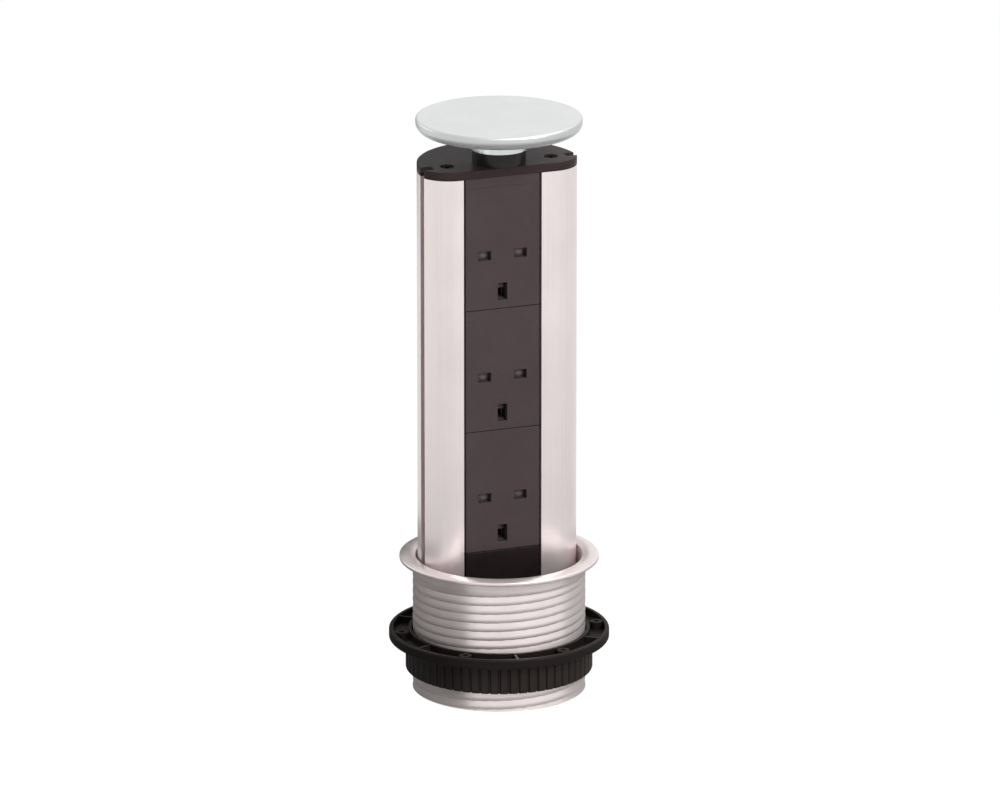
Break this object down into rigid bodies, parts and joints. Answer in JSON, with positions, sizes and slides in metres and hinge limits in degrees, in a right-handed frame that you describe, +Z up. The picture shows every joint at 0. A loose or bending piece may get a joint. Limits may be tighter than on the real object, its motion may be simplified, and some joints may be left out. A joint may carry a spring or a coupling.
{
  "type": "pop-up desk socket",
  "caption": "Column of mains outlets with a round lid that slides up through a threaded collar, clamped in a round worktop cut-out by a ring and a ribbed nut.",
  "frame": {"origin": "on the column's axis, at the worktop's upper face, where the rim's underside meets the spigot", "axes": "+Z up along the column's slide, -Y the way the outlets face, +X to the right of someone facing the outlets"},
  "size_m": [0.1295, 0.1294, 0.3462],
  "materials": {
    "aluminium": "satin anodised",
    "lid_silver": "fine satin",
    "bright_steel": "polished",
    "dark_plastic": "matt",
    "black_plastic": "matt",
    "shutter_grey": "matt",
    "brass": "plain",
    "steel": "plain",
    "rubber": "matt"
  },
  "bodies": {
    "collar": {"collar": "aluminium", "guide_bush": "black_plastic"},
    "clamp": {"clamp_ring": "black_plastic"},
    "nut": {"clamp_nut": "black_plastic"},
    "column": {"column_profile": "aluminium", "top_plate": "dark_plastic", "top_screws": "steel", "base_plate": "black_plastic", "base_screws": "steel", "friction_pads": "rubber", "cable_gland": "black_plastic", "gland_nut": "black_plastic", "top_strip": "dark_plastic", "bottom_strip": "black_plastic", "terminal_block": "dark_plastic", "terminal_screws": "steel", "live_bar": "brass", "neutral_bar": "brass", "earth_bar": "brass", "neck_sleeve": "black_plastic", "lid_spring": "steel", "socket_face_1": "dark_plastic", "socket_back_1": "black_plastic", "contacts_1": "brass", "shutter_spring_1": "steel", "socket_face_2": "dark_plastic", "socket_back_2": "black_plastic", "contacts_2": "brass", "shutter_spring_2": "steel", "socket_face_3": "dark_plastic", "socket_back_3": "black_plastic", "contacts_3": "brass", "shutter_spring_3": "steel"},
    "lid": {"lid": "lid_silver", "lid_ferrule": "bright_steel", "lid_stem": "black_plastic", "stem_clip": "steel", "hub_screws": "steel"},
    "shutter_1": {"shutter_1": "shutter_grey"},
    "shutter_2": {"shutter_2": "shutter_grey"},
    "shutter_3": {"shutter_3": "shutter_grey"}
  },
  "joints": [
    {"name": "column_slide", "type": "slide", "parent": "collar", "child": "column", "axis": [0, 0, 1], "range_m": [-0.2574, 0]},
    {"name": "clamp_slide", "type": "slide", "parent": "collar", "child": "clamp", "axis": [0, 0, 1], "range_m": [-0.0106, 0.0318]},
    {"name": "nut_spin", "type": "hinge", "parent": "clamp", "child": "nut", "pos_m": [0, 0, 0], "axis": [0, 0, 1], "range_deg": [-360, 1080]},
    {"name": "lid_press", "type": "slide", "parent": "column", "child": "lid", "axis": [0, 0, 1], "range_m": [-0.007, 0], "stiffness_N_per_m": 300, "springref_m": 0.012, "deforming": ["lid_spring"]},
    {"name": "shutter_1_lift", "type": "slide", "parent": "column", "child": "shutter_1", "axis": [0, 0, 1], "range_m": [0, 0.0068], "stiffness_N_per_m": 80, "springref_m": -0.003, "deforming": ["shutter_spring_1"]},
    {"name": "shutter_2_lift", "type": "slide", "parent": "column", "child": "shutter_2", "axis": [0, 0, 1], "range_m": [0, 0.0068], "stiffness_N_per_m": 80, "springref_m": -0.003, "deforming": ["shutter_spring_2"]},
    {"name": "shutter_3_lift", "type": "slide", "parent": "column", "child": "shutter_3", "axis": [0, 0, 1], "range_m": [0, 0.0068], "stiffness_N_per_m": 80, "springref_m": -0.003, "deforming": ["shutter_spring_3"]}
  ],
  "couplings": [
    {"joint": "clamp_slide", "follows": "nut_spin", "m_per_rad": 0.001687}
  ]
}
